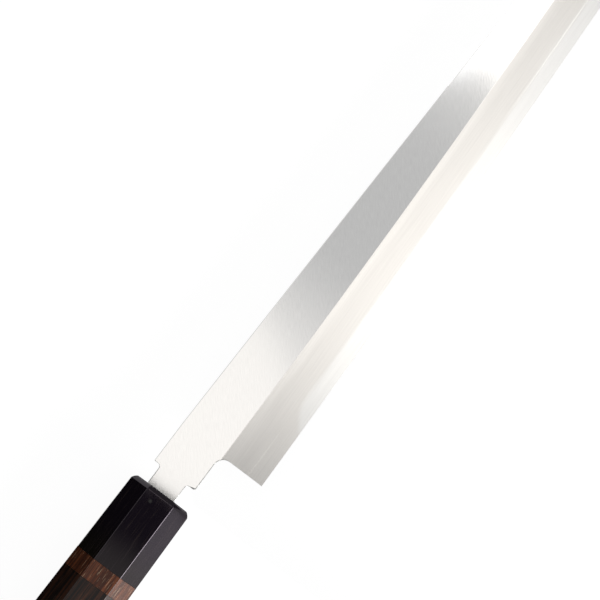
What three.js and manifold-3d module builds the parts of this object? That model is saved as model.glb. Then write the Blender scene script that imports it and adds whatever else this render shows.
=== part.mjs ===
// Kiritsuke: a right-handed, single-bevel kitchen knife with an eight-sided wooden handle.
// Millimetres. +X points to the tip, +Y to the spine and +Z out of the bevelled face.
// The pieces are drawn from the front of the ferrule, on the handle's axis at half the neck's thickness.
// At the end the whole knife is moved so that its origin is at the bottom centre of its box.

import * as THREE from "three";
import { mergeVertices } from "three/addons/utils/BufferGeometryUtils.js";
import Module from "manifold-3d";

// Handle: lengths run back from the front of the ferrule
const HANDLE_LENGTH = 140;
const FERRULE_LENGTH = 30.6;
const RING_LENGTH = 6.9;
const FRONT_HEIGHT = 23.5;
const BUTT_HEIGHT = 26.8;
const FRONT_THICKNESS = 19;
const BUTT_THICKNESS = 21;
const BROAD_FACET = 10.7;
const NARROW_FACET = 6.6;
const FERRULE_ROUNDING = 1.7; // how far the rounded-over end runs back
const BUTT_ROUNDING = 1.4;
const ROUND_OVER = [[0, 0.87], [0.4, 0.942], [1, 1]]; // shares: way back from the end face, section left there
const GLUE_LINE = 0.06;

// Dowel and the slot for the tang
const DOWEL_DIAMETER = 14;
const DOWEL_FRONT = 6.5;
const DOWEL_LENGTH = 99;
const DOWEL_CLEARANCE = 0.15;
const SLOT_WALL_Y = 0.6;
const SLOT_WALL_Z = 0.45;
const SLOT_PAST_TANG = 3;
const OVERCUT = 1; // how far a cutter reaches past the face it opens
const RESIN_RECESS = 0.5;
const RESIN_CLEARANCE = 0.06;

// Tang and neck
const TANG_TOP = 6.15;
const TANG_BOTTOM = -4.85;
const TANG_LENGTH = 95; // inside the handle
const TANG_END_WIDTH = 6;
const TANG_END_THICKNESS = 2.4;
const SHOULDER_X = 7.4; // bare tang between ferrule and shoulders
const SHOULDER_FILLET = 1.2;
const NECK_BOTTOM = -8.2;
const NECK_CORNER = 0.7; // rounding of its lower corner
const CHOIL_RADIUS = 4;

// Blade: each long line is given by its height at the heel, at the tip and its bow towards the edge
const BLADE_LENGTH = 270; // heel to tip
const HEEL_X = 22.3;
const SPINE_LINE = { heel: 8.85, tip: 3, bow: -0.3 };
const RIDGE_LINE = { heel: -8.95, tip: -3.46, bow: 1.5 };
const EDGE_LINE = { heel: -25.85, tip: -18.65, bow: 1.3 };
const HEEL_THICKNESS = 4;
const TIP_THICKNESS = 2.2;
const EDGE_LAND = 0.15; // thickness left at the cutting edge
const TIP_CUT_LENGTH = 36; // how far the slanted end runs back along the spine
const TIP_BLUNT = 0.4;

// Edge steel behind the cladding, and the hollow ground into it
const STEEL_AT_HEEL = 1.55;
const STEEL_AT_TIP = 0.87;
const WELD_LINE = 0.05;
const HOLLOW_DEPTH = 0.4;
const HOLLOW_RIM_SPINE = 3.5;
const HOLLOW_RIM_EDGE = 2.5;
const HOLLOW_FADE = 25;

// Fineness of the curves
const LONG_STEPS = 14;
const TIP_STEPS = 8;
const ARC_STEPS = 6;
const HOLLOW_STEPS = 6;
const ROUND_SEGMENTS = 64;
const HALVINGS = 40;
const SAME_POINT = 1e-4;

const TANG_MIDDLE = (TANG_TOP + TANG_BOTTOM) / 2;
const TANG_WIDTH = TANG_TOP - TANG_BOTTOM;
const BACK_Z = -HEEL_THICKNESS / 2;
const TIP_X = HEEL_X + BLADE_LENGTH;
const CUT_X = TIP_X - TIP_CUT_LENGTH;
const CHOIL_X = HEEL_X - CHOIL_RADIUS;

const wasm = await Module();
wasm.setup();

function lerp(a, b, share) {
  return a + (b - a) * share;
}

// A closed three.js geometry as a solid that can be joined and cut.
function solidOf(geometry) {
  const bare = geometry.clone();
  bare.deleteAttribute("normal");
  bare.deleteAttribute("uv");
  const merged = mergeVertices(bare, SAME_POINT);
  return new wasm.Manifold(
    new wasm.Mesh({
      numProp: 3,
      vertProperties: new Float32Array(merged.attributes.position.array),
      triVerts: new Uint32Array(merged.index.array),
    }),
  );
}

function geometryOf(solid) {
  const mesh = solid.getMesh();
  const geometry = new THREE.BufferGeometry();
  geometry.setAttribute("position", new THREE.BufferAttribute(mesh.vertProperties, 3));
  geometry.setIndex(new THREE.BufferAttribute(mesh.triVerts, 1));
  geometry.computeVertexNormals();
  return geometry;
}

// A closed skin over sections { x, points: [[y, z], ...] } with equal point counts, ordered by rising x.
// The points run counter-clockwise as seen from +X. Triangles without area are left out.
function loft(sections) {
  const corners = sections.map(({ x, points }) => points.map(([y, z]) => new THREE.Vector3(x, y, z)));
  const count = corners[0].length;
  const positions = [];
  const addTriangle = (a, b, c) => {
    if (Math.min(a.distanceTo(b), b.distanceTo(c), c.distanceTo(a)) < SAME_POINT) return;
    positions.push(...a.toArray(), ...b.toArray(), ...c.toArray());
  };
  for (let i = 0; i + 1 < corners.length; i++) {
    for (let j = 0; j < count; j++) {
      const next = (j + 1) % count;
      addTriangle(corners[i][j], corners[i + 1][next], corners[i + 1][j]);
      addTriangle(corners[i][j], corners[i][next], corners[i + 1][next]);
    }
  }
  const addCap = (ring, facesForward) => {
    const flat = ring.map((corner) => new THREE.Vector2(corner.y, corner.z));
    for (const [a, b, c] of THREE.ShapeUtils.triangulateShape(flat, [])) {
      if (facesForward) addTriangle(ring[a], ring[b], ring[c]);
      else addTriangle(ring[a], ring[c], ring[b]);
    }
  };
  addCap(corners[0], false);
  addCap(corners[corners.length - 1], true);
  const geometry = new THREE.BufferGeometry();
  geometry.setAttribute("position", new THREE.Float32BufferAttribute(positions, 3));
  return geometry;
}

function rectangle(bottom, top, low, high) {
  return [
    [bottom, low],
    [top, low],
    [top, high],
    [bottom, high],
  ];
}

// Handle sections

function octagon(x) {
  const share = -x / HANDLE_LENGTH;
  const height = lerp(FRONT_HEIGHT, BUTT_HEIGHT, share) / 2;
  const thickness = lerp(FRONT_THICKNESS, BUTT_THICKNESS, share) / 2;
  const broad = BROAD_FACET / 2;
  const narrow = NARROW_FACET / 2;
  return [
    [height, narrow],
    [broad, thickness],
    [-broad, thickness],
    [-height, narrow],
    [-height, -narrow],
    [-broad, -thickness],
    [broad, -thickness],
    [height, -narrow],
  ];
}

// A length of the handle. An end with a rounding is rounded over as far back as that.
function handleLength(back, front, backRounding = 0, frontRounding = 0) {
  const ring = (x, share) => ({ x, points: octagon(x).map(([y, z]) => [y * share, z * share]) });
  const end = (x, rounding, inwards) =>
    rounding > 0
      ? ROUND_OVER.map(([wayBack, share]) => ring(x + inwards * wayBack * rounding, share))
      : [ring(x, 1)];
  return solidOf(loft([...end(back, backRounding, 1), ...end(front, frontRounding, -1).reverse()]));
}

// A round bar along X, from its back end to its front end.
function bar(radius, back, front) {
  const geometry = new THREE.CylinderGeometry(radius, radius, front - back, ROUND_SEGMENTS);
  geometry.rotateZ(-Math.PI / 2);
  geometry.translate((back + front) / 2, 0, 0);
  return solidOf(geometry);
}

// Tang and slot sections

// The tapering tang, grown by a wall on each side, between two planes behind the ferrule's front.
function tangBar(back, front, wallY, wallZ) {
  const section = (x) => {
    const share = -x / TANG_LENGTH;
    const halfWidth = lerp(TANG_WIDTH, TANG_END_WIDTH, share) / 2 + wallY;
    const halfThickness = lerp(HEEL_THICKNESS, TANG_END_THICKNESS, share) / 2 + wallZ;
    const points = rectangle(TANG_MIDDLE - halfWidth, TANG_MIDDLE + halfWidth, -halfThickness, halfThickness);
    return { x, points };
  };
  return solidOf(loft([section(back), section(front)]));
}

// Blade sections

function bladeShare(x) {
  return THREE.MathUtils.clamp((x - HEEL_X) / BLADE_LENGTH, 0, 1);
}

function heightOn(line, x) {
  const share = bladeShare(x);
  return lerp(line.heel, line.tip, share) - 4 * line.bow * share * (1 - share);
}

function spineY(x) {
  const straight = heightOn(SPINE_LINE, x);
  if (x <= CUT_X) return straight;
  return lerp(heightOn(SPINE_LINE, CUT_X), EDGE_LINE.tip, (x - CUT_X) / TIP_CUT_LENGTH);
}

function faceZ(x) {
  return BACK_Z + lerp(HEEL_THICKNESS, TIP_THICKNESS, bladeShare(x));
}

// Height of the bevelled front surface: level from spine to ridge, then sloping to the edge.
function frontZ(x, y) {
  const ridge = heightOn(RIDGE_LINE, x);
  const edge = heightOn(EDGE_LINE, x);
  const share = THREE.MathUtils.clamp((ridge - y) / (ridge - edge), 0, 1);
  return lerp(faceZ(x), BACK_Z + EDGE_LAND, share);
}

function weldZ(x) {
  return BACK_Z + lerp(STEEL_AT_HEEL, STEEL_AT_TIP, bladeShare(x));
}

// Where a level z comes out on the bevel.
function bevelY(x, z) {
  const share = (faceZ(x) - z) / (faceZ(x) - BACK_Z - EDGE_LAND);
  return lerp(heightOn(RIDGE_LINE, x), heightOn(EDGE_LINE, x), share);
}

function claddingSection(x) {
  const low = weldZ(x) + WELD_LINE;
  const spine = spineY(x);
  const ridge = Math.min(heightOn(RIDGE_LINE, x), spine);
  const outcrop = Math.min(bevelY(x, low), spine);
  const points = [
    [outcrop, low],
    [spine, low],
    [spine, Math.max(frontZ(x, spine), low)],
    [ridge, Math.max(frontZ(x, ridge), low)],
  ];
  return { x, points };
}

function hollowDepth(x) {
  const fromHeel = THREE.MathUtils.smoothstep(x, HEEL_X, HEEL_X + HOLLOW_FADE);
  const fromCut = 1 - THREE.MathUtils.smoothstep(x, CUT_X - HOLLOW_FADE, CUT_X);
  return HOLLOW_DEPTH * fromHeel * fromCut;
}

function steelSection(x) {
  const high = weldZ(x);
  const spine = spineY(x);
  const edge = heightOn(EDGE_LINE, x);
  const outcrop = Math.min(bevelY(x, high), spine);
  const width = spine - edge;
  const rimEdge = edge + Math.min(HOLLOW_RIM_EDGE, width / 4);
  const rimSpine = spine - Math.min(HOLLOW_RIM_SPINE, width / 4);
  const points = [[edge, BACK_Z]];
  for (let i = 0; i <= HOLLOW_STEPS; i++) {
    const share = i / HOLLOW_STEPS;
    const depth = hollowDepth(x) * 4 * share * (1 - share);
    points.push([lerp(rimEdge, rimSpine, share), BACK_Z + depth]);
  }
  points.push([spine, BACK_Z]);
  points.push([spine, Math.min(high, frontZ(x, spine))]);
  points.push([outcrop, Math.min(high, frontZ(x, outcrop))]);
  points.push([edge, BACK_Z + EDGE_LAND]);
  return { x, points };
}

// Stations from the heel to an end on the slanted tip, closer together on the tip.
function stations(start, end) {
  const places = [];
  for (let i = 0; i < LONG_STEPS; i++) places.push(lerp(start, CUT_X, i / LONG_STEPS));
  for (let i = 0; i <= TIP_STEPS; i++) places.push(lerp(CUT_X, end, i / TIP_STEPS));
  return places;
}

// The place on the slanted tip where a height over the edge line is reached.
function whereTipReaches(heightAboveEdge) {
  let near = CUT_X;
  let far = TIP_X;
  for (let i = 0; i < HALVINGS; i++) {
    const middle = (near + far) / 2;
    if (spineY(middle) - heightOn(EDGE_LINE, middle) > heightAboveEdge(middle)) near = middle;
    else far = middle;
  }
  return near;
}

// Pieces

function bladeCladding() {
  const neckOutline = new THREE.Shape();
  neckOutline.moveTo(0, TANG_TOP);
  neckOutline.lineTo(SHOULDER_X - SHOULDER_FILLET, TANG_TOP);
  neckOutline.absarc(
    SHOULDER_X - SHOULDER_FILLET, TANG_TOP + SHOULDER_FILLET, SHOULDER_FILLET, -Math.PI / 2, 0, false,
  );
  neckOutline.lineTo(SHOULDER_X, SPINE_LINE.heel);
  neckOutline.lineTo(CHOIL_X, SPINE_LINE.heel);
  neckOutline.lineTo(CHOIL_X, NECK_BOTTOM);
  neckOutline.lineTo(SHOULDER_X + NECK_CORNER, NECK_BOTTOM);
  neckOutline.absarc(
    SHOULDER_X + NECK_CORNER, NECK_BOTTOM + NECK_CORNER, NECK_CORNER, -Math.PI / 2, -Math.PI, true,
  );
  neckOutline.lineTo(SHOULDER_X, TANG_BOTTOM - SHOULDER_FILLET);
  neckOutline.absarc(
    SHOULDER_X - SHOULDER_FILLET, TANG_BOTTOM - SHOULDER_FILLET, SHOULDER_FILLET, 0, Math.PI / 2, false,
  );
  neckOutline.lineTo(0, TANG_BOTTOM);
  const neckOptions = { depth: HEEL_THICKNESS, bevelEnabled: false, curveSegments: ARC_STEPS };
  const neck = new THREE.ExtrudeGeometry(neckOutline, neckOptions);
  neck.translate(0, 0, BACK_Z);

  // From neck to heel the lower side follows a quarter round, and the bevel already takes its corner off.
  const choilSections = [];
  for (let i = 0; i <= ARC_STEPS; i++) {
    const turn = (Math.PI / 2) * (i / ARC_STEPS);
    const x = CHOIL_X + CHOIL_RADIUS * Math.sin(turn);
    const bottom = NECK_BOTTOM - CHOIL_RADIUS * (1 - Math.cos(turn));
    const ridge = Math.max(RIDGE_LINE.heel, bottom);
    const points = [
      [bottom, BACK_Z],
      [SPINE_LINE.heel, BACK_Z],
      [SPINE_LINE.heel, faceZ(x)],
      [ridge, faceZ(x)],
      [bottom, frontZ(x, bottom)],
    ];
    choilSections.push({ x, points });
  }

  const weldHeight = (x) => bevelY(x, weldZ(x) + WELD_LINE) - heightOn(EDGE_LINE, x) + TIP_BLUNT;
  const bladeSections = stations(HEEL_X, whereTipReaches(weldHeight)).map(claddingSection);

  return tangBar(-TANG_LENGTH, 0, 0, 0)
    .add(solidOf(neck))
    .add(solidOf(loft(choilSections)))
    .add(solidOf(loft(bladeSections)));
}

function bladeEdgeSteel() {
  const tipEnd = whereTipReaches(() => TIP_BLUNT);
  const sections = stations(HEEL_X + WELD_LINE, tipEnd).map(steelSection);
  return solidOf(loft(sections));
}

function hornFerrule() {
  const slot = tangBar(-DOWEL_FRONT - OVERCUT, OVERCUT, SLOT_WALL_Y, SLOT_WALL_Z);
  const bore = bar(DOWEL_DIAMETER / 2 + DOWEL_CLEARANCE, -FERRULE_LENGTH - OVERCUT, -DOWEL_FRONT);
  return handleLength(-FERRULE_LENGTH, 0, 0, FERRULE_ROUNDING).subtract(slot).subtract(bore);
}

function spacerRing() {
  const front = -FERRULE_LENGTH - GLUE_LINE;
  const back = -FERRULE_LENGTH - RING_LENGTH;
  const bore = bar(DOWEL_DIAMETER / 2 + DOWEL_CLEARANCE, back - OVERCUT, front + OVERCUT);
  return handleLength(back, front).subtract(bore);
}

function handleBody() {
  const front = -FERRULE_LENGTH - RING_LENGTH - GLUE_LINE;
  const boreEnd = -DOWEL_FRONT - DOWEL_LENGTH - GLUE_LINE;
  const bore = bar(DOWEL_DIAMETER / 2 + DOWEL_CLEARANCE, boreEnd, front + OVERCUT);
  return handleLength(-HANDLE_LENGTH, front, BUTT_ROUNDING, 0).subtract(bore);
}

function coreDowel() {
  const front = -DOWEL_FRONT - GLUE_LINE;
  const slot = tangBar(-TANG_LENGTH - SLOT_PAST_TANG, 0, SLOT_WALL_Y, SLOT_WALL_Z);
  return bar(DOWEL_DIAMETER / 2, -DOWEL_FRONT - DOWEL_LENGTH, front).subtract(slot);
}

function tangResin() {
  const wallY = SLOT_WALL_Y - RESIN_CLEARANCE;
  const wallZ = SLOT_WALL_Z - RESIN_CLEARANCE;
  const bed = tangBar(-TANG_LENGTH - SLOT_PAST_TANG + RESIN_CLEARANCE, -RESIN_RECESS, wallY, wallZ);
  return bed.subtract(tangBar(-TANG_LENGTH - RESIN_CLEARANCE, 0, RESIN_CLEARANCE, RESIN_CLEARANCE));
}

const knife = new THREE.Group();

function addPiece(name, solid, color, roughness, metalness) {
  const material = new THREE.MeshStandardMaterial({ color, roughness, metalness });
  const mesh = new THREE.Mesh(geometryOf(solid), material);
  mesh.name = name;
  knife.add(mesh);
}

addPiece("blade_cladding", bladeCladding(), 0xc4c5c3, 0.34, 1);
addPiece("blade_edge_steel", bladeEdgeSteel(), 0xe6e6e3, 0.22, 1);
addPiece("horn_ferrule", hornFerrule(), 0x16171a, 0.25, 0);
addPiece("spacer_ring", spacerRing(), 0x6a4839, 0.5, 0);
addPiece("handle_body", handleBody(), 0x30261f, 0.42, 0);
addPiece("core_dowel", coreDowel(), 0xcdb48a, 0.8, 0);
addPiece("tang_resin", tangResin(), 0x3b3229, 0.5, 0);

const box = new THREE.Box3().setFromObject(knife);
const middle = box.getCenter(new THREE.Vector3());
knife.position.set(-middle.x, -middle.y, -box.min.z);

export default knife;
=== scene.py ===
# Kiritsuke: the looks of a right-handed, single-bevel kitchen knife with an eight-sided wooden handle.
# Lengths are drawn in millimetres from the knife's datum, the front of the ferrule on the handle's axis,
# with +X to the tip, +Y to the spine and +Z out of the bevelled face, and placed in metres in the frame.

import math

import bmesh
import bpy
from mathutils import Matrix, Vector


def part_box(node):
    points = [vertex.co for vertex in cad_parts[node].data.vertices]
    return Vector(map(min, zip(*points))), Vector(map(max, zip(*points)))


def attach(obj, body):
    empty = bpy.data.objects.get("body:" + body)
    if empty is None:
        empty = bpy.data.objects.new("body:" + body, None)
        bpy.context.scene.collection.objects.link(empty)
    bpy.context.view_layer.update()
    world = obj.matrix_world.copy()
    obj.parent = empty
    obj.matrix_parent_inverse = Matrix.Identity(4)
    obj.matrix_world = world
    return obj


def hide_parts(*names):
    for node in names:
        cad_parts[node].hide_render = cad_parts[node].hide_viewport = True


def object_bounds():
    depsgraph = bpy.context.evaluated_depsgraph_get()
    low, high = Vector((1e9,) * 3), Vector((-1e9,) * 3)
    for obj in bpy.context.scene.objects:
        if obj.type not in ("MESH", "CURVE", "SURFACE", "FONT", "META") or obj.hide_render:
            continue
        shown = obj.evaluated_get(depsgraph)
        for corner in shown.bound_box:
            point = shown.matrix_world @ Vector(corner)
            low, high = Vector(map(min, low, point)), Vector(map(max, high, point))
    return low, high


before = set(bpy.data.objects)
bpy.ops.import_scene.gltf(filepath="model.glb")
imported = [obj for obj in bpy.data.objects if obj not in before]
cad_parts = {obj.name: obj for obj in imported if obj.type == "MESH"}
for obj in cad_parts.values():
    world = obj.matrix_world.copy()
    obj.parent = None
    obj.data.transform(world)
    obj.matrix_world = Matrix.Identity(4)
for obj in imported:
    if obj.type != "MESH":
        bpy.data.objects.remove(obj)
CAD_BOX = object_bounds()

MM = 0.001
FERRULE_LOW, FERRULE_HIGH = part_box("horn_ferrule")
RING_LOW, RING_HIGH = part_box("spacer_ring")
BODY_LOW, BODY_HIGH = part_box("handle_body")
DATUM = Vector((
    FERRULE_HIGH.x,
    (FERRULE_LOW.y + FERRULE_HIGH.y) / 2,
    (FERRULE_LOW.z + FERRULE_HIGH.z) / 2,
))

# Handle, in millimetres
FRONT_HEIGHT = 23.5
FRONT_THICKNESS = 19.0
BUTT_HEIGHT = 26.8
BUTT_THICKNESS = 21.0
HANDLE_LENGTH = (FERRULE_HIGH.x - BODY_LOW.x) / MM
BROAD_FACET = 10.7
NARROW_FACET = 6.6
RIDGE_RADIUS = 0.75  # the sanded ridges are not sharp
FERRULE_ROUNDING = 1.7  # how far the rounded-over end runs back
BUTT_ROUNDING = 1.4
ROUND_OVER_RIM = 0.87  # share of the section that is left at the end face
ROUND_OVER_START = 0.6  # 1 would be a flat chamfer, less starts flatter and ends steeper
MOUTH_TOP = 6.75
MOUTH_BOTTOM = -5.45
MOUTH_THICKNESS = 4.9
MOUTH_DEPTH = 7.5
MOUTH_CUT_FROM = 1.0  # the cutter starts this far in front of the ferrule
HORN_FLECK = (-4.5, 2.0, 9.5)
HORN_OLIVE_FROM = -14.0  # from here the horn turns olive towards the ring

# Fineness of the handle's skin
HANDLE_ROWS = 61
HANDLE_COLUMNS = 401
RIDGE_POINTS = 6
HANDLE_MERGE = 0.001  # points closer than this, in millimetres, become one
HANDLE_CREASE = math.radians(15)  # edges that turn by more than this stay sharp

# Tang and neck, in millimetres
TANG_TOP = 6.15
TANG_BOTTOM = -4.85
TANG_LENGTH = 95.0
TANG_END_WIDTH = 6.0
TANG_END_THICKNESS = 2.4
SHOULDER_X = 7.4
SHOULDER_FILLET = 1.2
NECK_BOTTOM = -8.2
UPPER_CORNER = 0.3  # rounding of the neck's corners
LOWER_CORNER = 0.7
CHOIL_RADIUS = 4.0
EDGE_BREAK = 0.2  # radius of the broken edges along neck, tang and spine
LOWER_BREAK = 0.25  # the same below the neck, where a finger rests
FILLET_BREAK = 0.03  # left sharper in the upper shoulder, where the file didn't reach
LOWER_FILLET_BREAK = 0.12  # the same in the lower shoulder
CORNER_BREAK = 0.55  # filed further at the lower corner of the neck

# Blade, in millimetres: each long line is its height at the heel, at the tip and its bow towards the edge
HEEL_X = 22.3
TIP_X = 292.3
SPINE_LINE = (8.85, 3.0, -0.3)
RIDGE_LINE = (-8.95, -3.46, 1.5)
EDGE_LINE = (-25.85, -18.65, 1.3)
HEEL_THICKNESS = 4.0
TIP_THICKNESS = 2.2
EDGE_LAND = 0.15
TIP_CUT_LENGTH = 36.0
TIP_BLUNT = 0.4
STEEL_AT_HEEL = 1.55
STEEL_AT_TIP = 0.87
HOLLOW_DEPTH = 0.4
HOLLOW_RIM_SPINE = 3.5
HOLLOW_RIM_EDGE = 2.5
HOLLOW_FADE = 25.0
WELD_WANDER = 0.16  # share of the bevel's width within which the weld line wanders
HEEL_MIST = 0.45  # by how much the steel's bright finish is drawn down and off the edge at the heel
HEEL_MIST_END = (38.0, 56.0)  # between these places that fades out
RIDGE_ABOVE = 0.12  # the rounded ridge reaches this far onto the face
RIDGE_BELOW = 0.5
STEP = 0.01  # how far apart the two sections of a wall square to the length are
STEEL_START = 5 * STEP  # the steel starts this far past the iron's heel
HOLD = 0.08  # a line of points this far inside a broken edge keeps the face beside it flat

# Direction in degrees of the lines that a finish leaves, from +X towards +Y
LINES = {"face": 41.0, "bevel": 1.5, "edges": 0.0, "back": 78.0}

# Fineness of the blade's skin
ROUND_STEPS = 4
FACE_STEPS = 10
BEVEL_STEPS = 10
BACK_STEPS = 16
TANG_STEPS = 10
FILLET_STEPS = 8
NECK_STEPS = 6
CHOIL_STEPS = 14
LONG_STEPS = 150
TIP_STEPS = 30
HALVINGS = 40
BLADE_MERGE = 0.002  # points closer than this, in millimetres, become one
BLADE_SLIVER = 0.0005  # and edges shorter than this go
BLADE_CREASE = math.radians(25)  # edges that turn by more than this stay sharp

BLADE_LENGTH = TIP_X - HEEL_X
CUT_X = TIP_X - TIP_CUT_LENGTH
CHOIL_X = HEEL_X - CHOIL_RADIUS
BACK_Z = -HEEL_THICKNESS / 2

# Studio: places in millimetres, levels of light as shares of white
SCRIM_Z = 420
SCRIM_X = (-320, 620)
LEAN_Y = -17  # on the scrim, what the middle of the face mirrors
CARD_LIFT = 0.2  # how far cards lie above the table top
TABLE_SEEN = 0.94
TABLE_MIRRORED = 0.68
ROOM_LIGHT = 0.24
ROOM_SEEN = 1.0

# The camera, from the picture of the knife: 600 pixels wide
PICTURE_WIDTH = 600
FOCAL_PIXELS = 1729.0
DATUM_PIXEL = (162.05, 493.61)
DATUM_PIXELS_PER_MM = 2.95
LENGTH_TURN = 53.03  # degrees that the knife's length climbs in the picture
TIP_RECEDES = 8.83
SPINE_NEARS = 2.075
SENSOR_WIDTH = 36.0  # in millimetres
CLIP_START = 0.01  # in metres


def at(x, y, z):
    """A point in millimetres from the datum, as a place in the frame."""
    return DATUM + MM * Vector((x, y, z))


def lerp(a, b, share):
    return a + (b - a) * share


def clamp(value, low=0.0, high=1.0):
    return max(low, min(high, value))


def smooth(low, high, value):
    """0 below low, 1 above high, and an even curve between them."""
    share = clamp((value - low) / (high - low))
    return share * share * (3 - 2 * share)


def hex_colour(text):
    """An sRGB hex colour as linear RGBA."""
    channels = [int(text[i:i + 2], 16) / 255 for i in (1, 3, 5)]
    linear = [c / 12.92 if c <= 0.04045 else ((c + 0.055) / 1.055) ** 2.4 for c in channels]
    return (*linear, 1.0)


def node(tree, kind, inputs=None, **settings):
    """Adds a node. An input is given a value, or the output socket that feeds it.
    Numbered inputs: a map range takes 0 the value, 1 and 2 its range, 3 and 4 the range it gets, and for
    vectors 6, 7 and 8, 9 and 10. A mix takes 0 the share, 6 and 7 its colours, or 2 and 3 its numbers."""
    made = tree.nodes.new(kind)
    for name, value in settings.items():
        setattr(made, name, value)
    for key, value in (inputs or {}).items():
        if isinstance(value, bpy.types.NodeSocket):
            tree.links.new(value, made.inputs[key])
        else:
            made.inputs[key].default_value = value
    return made


def add_object(name, data):
    made = bpy.data.objects.new(name, data)
    bpy.context.scene.collection.objects.link(made)
    return made


# Materials


def new_material(name):
    material = bpy.data.materials.new(name)
    material.use_nodes = True
    material.node_tree.nodes.clear()
    return material, material.node_tree


def finish_material(tree, kind, inputs):
    """Gives a material its one shader."""
    shader = node(tree, kind, inputs)
    node(tree, "ShaderNodeOutputMaterial", {"Surface": shader.outputs[0]})


def stretched_noise(tree, place, scale, detail):
    """Noise drawn out into lines or bands. Its scale is how many of them a metre along each axis holds."""
    drawn = node(tree, "ShaderNodeMapping", {"Vector": place, "Scale": scale})
    inputs = {"Vector": drawn.outputs[0], "Scale": 1.0, "Detail": detail}
    return node(tree, "ShaderNodeTexNoise", inputs).outputs[0]


def finish_brushed_metal(tree, tone, rough, lines, relief, anisotropic):
    """Bare metal with fine lines, which blur reflections across the direction of the brush map."""
    bump = node(tree, "ShaderNodeBump", {"Strength": relief, "Distance": 0.02 * MM, "Height": lines})
    across = node(tree, "ShaderNodeTangent", direction_type="UV_MAP", uv_map="brush")
    inputs = {
        "Base Color": tone,
        "Metallic": 1.0,
        "Roughness": rough,
        "Anisotropic": anisotropic,
        "Tangent": across.outputs[0],
        "Normal": bump.outputs[0],
    }
    finish_material(tree, "ShaderNodeBsdfPrincipled", inputs)


def hairline_brushed_iron():
    """Soft iron face, belt-brushed slantwise: even grey metal whose hairlines blur reflections."""
    material, tree = new_material("hairline_brushed_iron")
    brush = node(tree, "ShaderNodeUVMap", uv_map="brush").outputs[0]
    # hairlines 0.05 mm apart, drawn at 0.35 mm so that they show, 3 mm long
    hair = stretched_noise(tree, brush, (2900, 330, 1), 3.0)
    tones = {0: hair, 6: hex_colour("#D2D2D2"), 7: hex_colour("#E0E0E0")}
    tone = node(tree, "ShaderNodeMix", tones, data_type="RGBA").outputs[2]
    rough = node(tree, "ShaderNodeMapRange", {0: hair, 1: 0.3, 2: 0.7, 3: 0.1, 4: 0.125}).outputs[0]
    finish_brushed_metal(tree, tone, rough, hair, 0.16, 0.4)
    return material


def stone_finished_bevel():
    """The wide bevel off the whetstone: misty iron above with a painted highlight along the ridge, brighter
    steel below, fine lines lengthways.
    """
    material, tree = new_material("stone_finished_bevel")
    brush = node(tree, "ShaderNodeUVMap", uv_map="brush").outputs[0]
    # stone scratches 0.03 mm apart, drawn at 0.4 mm so that they show, 20 mm long
    scratch = stretched_noise(tree, brush, (2500, 50, 1), 3.0)
    # clouds in the iron, 3 mm across and 40 mm along
    cloud = stretched_noise(tree, brush, (330, 25, 1), 4.0)
    # the weld line wanders by about a millimetre
    share = node(tree, "ShaderNodeAttribute", attribute_name="bevel_share").outputs["Fac"]
    inputs = {0: cloud, 1: WELD_WANDER, 2: share}
    wander = node(tree, "ShaderNodeMath", inputs, operation="MULTIPLY_ADD").outputs[0]
    place = node(tree, "ShaderNodeMath", {0: wander, 1: WELD_WANDER / 2}, operation="SUBTRACT").outputs[0]
    tone = node(tree, "ShaderNodeValToRGB", {0: place})
    tone.color_ramp.interpolation = "EASE"
    # a painted highlight along the ridge, then misty iron, then the hard steel
    iron_end, steel_start = 0.6, 0.73
    stops = [
        # this lighter first stop is a painted highlight along the ridge, not the iron's own tone
        (0.04, "#E7E5E2"),
        (0.22, "#E0DEDB"),
        (iron_end, "#E3E1DE"),
        (steel_start, "#EEEEED"),
        (1.0, "#EEEEED"),
    ]
    for _ in stops[2:]:
        tone.color_ramp.elements.new(0.5)
    for element, (position, colour) in zip(tone.color_ramp.elements, stops):
        element.position = position
        element.color = hex_colour(colour)
    streaked = node(tree, "ShaderNodeMapRange", {0: scratch, 1: 0.25, 2: 0.75, 3: 0.96, 4: 1.04})
    inputs = {0: tone.outputs[0], "Scale": streaked.outputs[0]}
    streaks = node(tree, "ShaderNodeVectorMath", inputs, operation="SCALE").outputs[0]
    inputs = {0: place, 1: iron_end, 2: steel_start, 3: 0.32, 4: 0.3}
    rough = node(tree, "ShaderNodeMapRange", inputs).outputs[0]
    finish_brushed_metal(tree, streaks, rough, scratch, 0.08, 0.4)
    return material


def filed_iron_edges():
    """Spine, neck and tang sides, filed along their length and rubbed down."""
    material, tree = new_material("filed_iron_edges")
    place = node(tree, "ShaderNodeTexCoord").outputs["Object"]
    # file marks 0.1 mm apart, drawn at 0.4 mm so that they show
    marks = stretched_noise(tree, place, (150, 2500, 2500), 3.0)
    tones = {0: marks, 6: hex_colour("#D2D2D0"), 7: hex_colour("#E4E4E2")}
    tone = node(tree, "ShaderNodeMix", tones, data_type="RGBA").outputs[2]
    rough = node(tree, "ShaderNodeMapRange", {0: marks, 3: 0.14, 4: 0.24}).outputs[0]
    bump = node(tree, "ShaderNodeBump", {"Strength": 0.12, "Distance": 0.03 * MM, "Height": marks}).outputs[0]
    inputs = {"Base Color": tone, "Metallic": 1.0, "Roughness": rough, "Normal": bump}
    finish_material(tree, "ShaderNodeBsdfPrincipled", inputs)
    return material


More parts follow.
